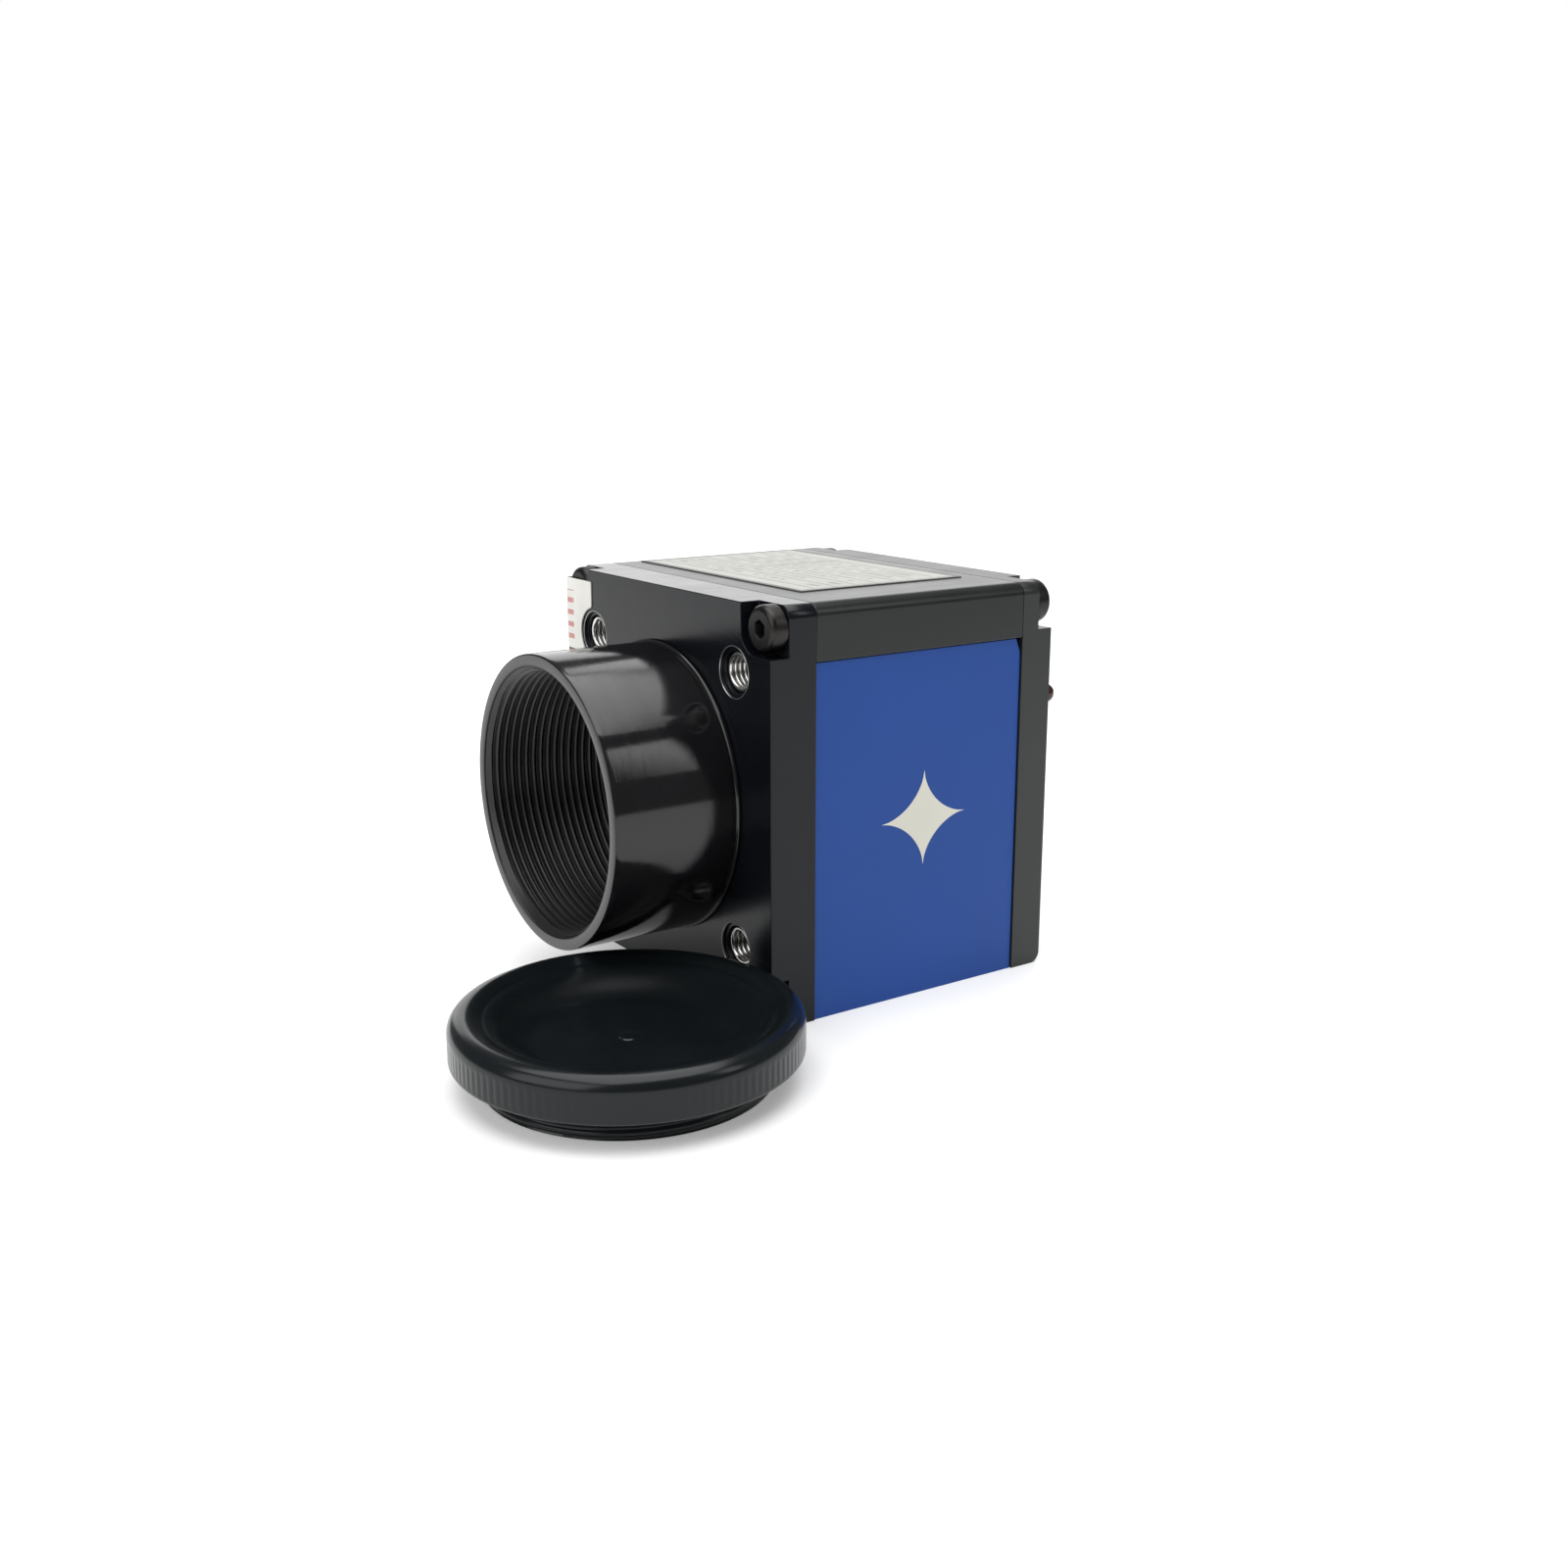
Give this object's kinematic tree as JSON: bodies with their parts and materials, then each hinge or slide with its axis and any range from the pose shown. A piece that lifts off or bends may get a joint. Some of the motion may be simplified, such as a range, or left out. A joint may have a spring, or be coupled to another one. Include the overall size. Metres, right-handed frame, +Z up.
{
  "type": "guide camera",
  "caption": "Small box-shaped guide camera with a threaded lens tube, blue side walls, sockets on the back and a loose dished dust cap.",
  "frame": {"origin": "middle of the camera's base, on the surface it rests on", "axes": "+Z up, lens tube along -Y, sockets on the +Y side, +X is the camera's left seen from behind the tube"},
  "size_m": [0.0541, 0.0671, 0.0391],
  "materials": {
    "black_anodised": "gloss black anodised",
    "black_anodised_tube": "turned, black anodised",
    "black_anodised_back": "black anodised",
    "black_cover": "satin black anodised",
    "black_ring": "matt black anodised",
    "window_glass": "coated",
    "black_rubber": "matt",
    "insert_steel": "bright wire",
    "black_oxide": "black oxide",
    "black_oxide_rear": "black oxide",
    "black_oxide_flat": "black oxide",
    "label_silver": "satin silver",
    "blue_paint": "semi-gloss blue",
    "sticker_paper": "matt",
    "sensor_ceramic": "matt",
    "silicon": "polished",
    "sensor_glass": "clear",
    "gold_leads": "plated",
    "board_green": "solder mask",
    "chip_plastic": "moulded",
    "board_green_main": "solder mask",
    "chip_plastic_main": "moulded",
    "board_green_rear": "solder mask",
    "chip_plastic_rear": "moulded",
    "brass_front": "turned",
    "brass_middle": "turned",
    "brass_rear": "turned",
    "zinc_screws": "zinc plated",
    "header_plastic_lower": "moulded",
    "pin_gold_lower": "plated",
    "header_plastic_upper": "moulded",
    "pin_gold_upper": "plated",
    "socket_steel": "tin plated",
    "socket_plastic": "moulded",
    "contact_gold": "plated",
    "port_plastic": "moulded",
    "port_gold": "plated",
    "led_epoxy": "clear red",
    "lead_tin": "tinned",
    "cap_plastic": "satin moulded"
  },
  "bodies": {
    "camera": {"front_plate": "black_anodised", "lens_tube": "black_anodised_tube", "back_plate": "black_anodised_back", "top_cover": "black_cover", "window_retainer": "black_ring", "window_glass": "window_glass", "window_o_ring": "black_rubber", "thread_inserts": "insert_steel", "front_screws": "black_oxide", "rear_upper_screws": "black_oxide_rear", "rear_lower_screws": "black_oxide_flat", "top_label": "label_silver", "blue_housing": "blue_paint", "inspection_sticker": "sticker_paper", "image_sensor": "sensor_ceramic", "sensor_die": "silicon", "sensor_cover_glass": "sensor_glass", "sensor_leads": "gold_leads", "sensor_board": "board_green", "sensor_board_chips": "chip_plastic", "main_board": "board_green_main", "main_board_chips": "chip_plastic_main", "interface_board": "board_green_rear", "interface_board_chips": "chip_plastic_rear", "front_standoffs": "brass_front", "middle_standoffs": "brass_middle", "rear_standoffs": "brass_rear", "board_screws": "zinc_screws", "lower_header": "header_plastic_lower", "lower_header_pins": "pin_gold_lower", "upper_header": "header_plastic_upper", "upper_header_pins": "pin_gold_upper", "usb_shell": "socket_steel", "usb_tongue": "socket_plastic", "usb_contacts": "contact_gold", "guide_port": "port_plastic", "guide_port_contacts": "port_gold", "status_led": "led_epoxy", "status_led_leads": "lead_tin"},
    "cap": {"dust_cap": "cap_plastic"}
  },
  "joints": [
    {"name": "cap_lift_off", "type": "slide", "parent": "camera", "child": "cap", "axis": [1, 0, 0], "range_m": [0, 0.04]}
  ]
}
